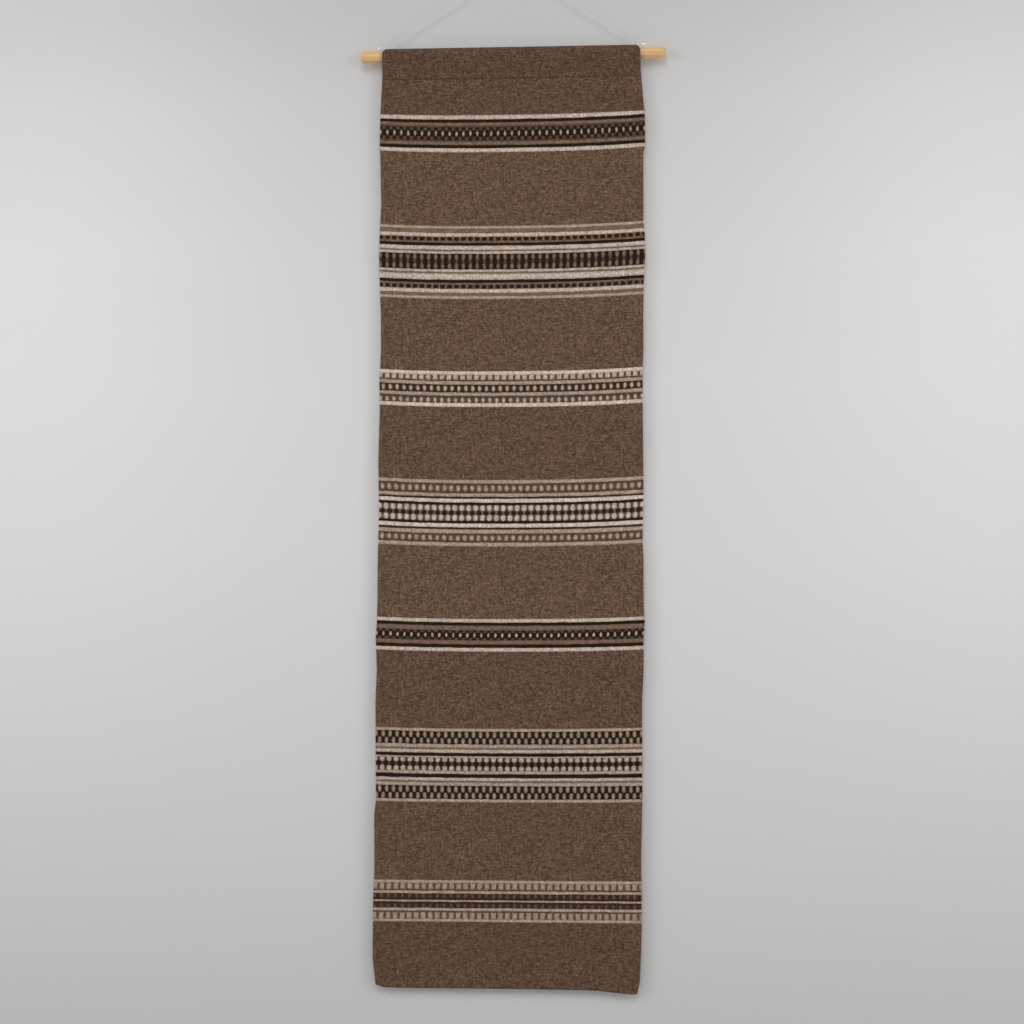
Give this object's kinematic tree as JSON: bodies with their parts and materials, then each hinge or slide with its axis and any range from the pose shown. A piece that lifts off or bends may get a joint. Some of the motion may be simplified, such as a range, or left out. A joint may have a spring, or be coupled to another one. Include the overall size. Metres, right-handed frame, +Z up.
{
  "type": "tapestry wall hanging",
  "caption": "Long handwoven wall cloth with patterned cross bands, hung by a round dowel in a top sleeve and a thin cord going up to a nail.",
  "frame": {"origin": "the seat of the hanging cord on its nail: the underside of the cord at the top of its V", "axes": "+Z up; +X along the dowel, to the right as seen from the front; the front of the cloth faces -Y and the wall is on the +Y side"},
  "size_m": [0.445, 0.0224, 1.4815],
  "materials": {
    "ground_cloth": "weft-faced wool weave, matt, heather brown",
    "band_cloth": "weft-faced wool pattern weave in cream, beige, taupe and near-black yarns, matt",
    "warp_yarn": "unbleached linen or cotton yarn",
    "sewing_thread": "dark brown sewing thread",
    "wood_dowel": "sanded pale softwood or birch, unvarnished, satin",
    "nylon_cord": "thin translucent nylon line"
  },
  "bodies": {
    "hanger": {"hanging_cord": "nylon_cord", "cord_loop_left": "nylon_cord", "cord_loop_right": "nylon_cord", "cord_knot_left": "nylon_cord", "cord_knot_right": "nylon_cord"},
    "rod": {"dowel": "wood_dowel"},
    "cloth_1": {"sleeve": "ground_cloth", "sleeve_turn_under": "ground_cloth", "sleeve_stitches": "sewing_thread", "field_1": "ground_cloth", "band_1": "band_cloth", "field_2_upper": "ground_cloth", "warp_1": "warp_yarn"},
    "cloth_2": {"field_2_lower": "ground_cloth", "band_2": "band_cloth", "field_3_upper": "ground_cloth", "warp_2": "warp_yarn"},
    "cloth_3": {"field_3_lower": "ground_cloth", "band_3": "band_cloth", "field_4_upper": "ground_cloth", "warp_3": "warp_yarn"},
    "cloth_4": {"field_4_lower": "ground_cloth", "band_4": "band_cloth", "field_5_upper": "ground_cloth", "warp_4": "warp_yarn"},
    "cloth_5": {"field_5_lower": "ground_cloth", "band_5": "band_cloth", "field_6_upper": "ground_cloth", "warp_5": "warp_yarn"},
    "cloth_6": {"field_6_lower": "ground_cloth", "band_6": "band_cloth", "field_7_upper": "ground_cloth", "warp_6": "warp_yarn"},
    "cloth_7": {"field_7_lower": "ground_cloth", "band_7": "band_cloth", "field_8": "ground_cloth", "hem_fold": "ground_cloth", "hem_stitches": "sewing_thread", "warp_7": "warp_yarn"}
  },
  "joints": [
    {"name": "cloth_swing", "type": "hinge", "parent": "hanger", "child": "cloth_1", "pos_m": [0, 0, -0.134], "axis": [-1, 0, 0], "range_deg": [0, 90]},
    {"name": "dowel_slide", "type": "slide", "parent": "cloth_1", "child": "rod", "axis": [1, 0, 0], "range_m": [0, 0.45]},
    {"name": "fold_1", "type": "hinge", "parent": "cloth_1", "child": "cloth_2", "pos_m": [0, 0, -0.3315], "axis": [-1, 0, 0], "range_deg": [-120, 120]},
    {"name": "fold_2", "type": "hinge", "parent": "cloth_2", "child": "cloth_3", "pos_m": [0, 0, -0.545], "axis": [1, 0, 0], "range_deg": [-120, 120]},
    {"name": "fold_3", "type": "hinge", "parent": "cloth_3", "child": "cloth_4", "pos_m": [0, 0, -0.70225], "axis": [-1, 0, 0], "range_deg": [-120, 120]},
    {"name": "fold_4", "type": "hinge", "parent": "cloth_4", "child": "cloth_5", "pos_m": [0, 0, -0.903], "axis": [1, 0, 0], "range_deg": [-120, 120]},
    {"name": "fold_5", "type": "hinge", "parent": "cloth_5", "child": "cloth_6", "pos_m": [0, 0, -1.057], "axis": [-1, 0, 0], "range_deg": [-120, 120]},
    {"name": "fold_6", "type": "hinge", "parent": "cloth_6", "child": "cloth_7", "pos_m": [0, 0, -1.27225], "axis": [1, 0, 0], "range_deg": [-120, 120]}
  ]
}
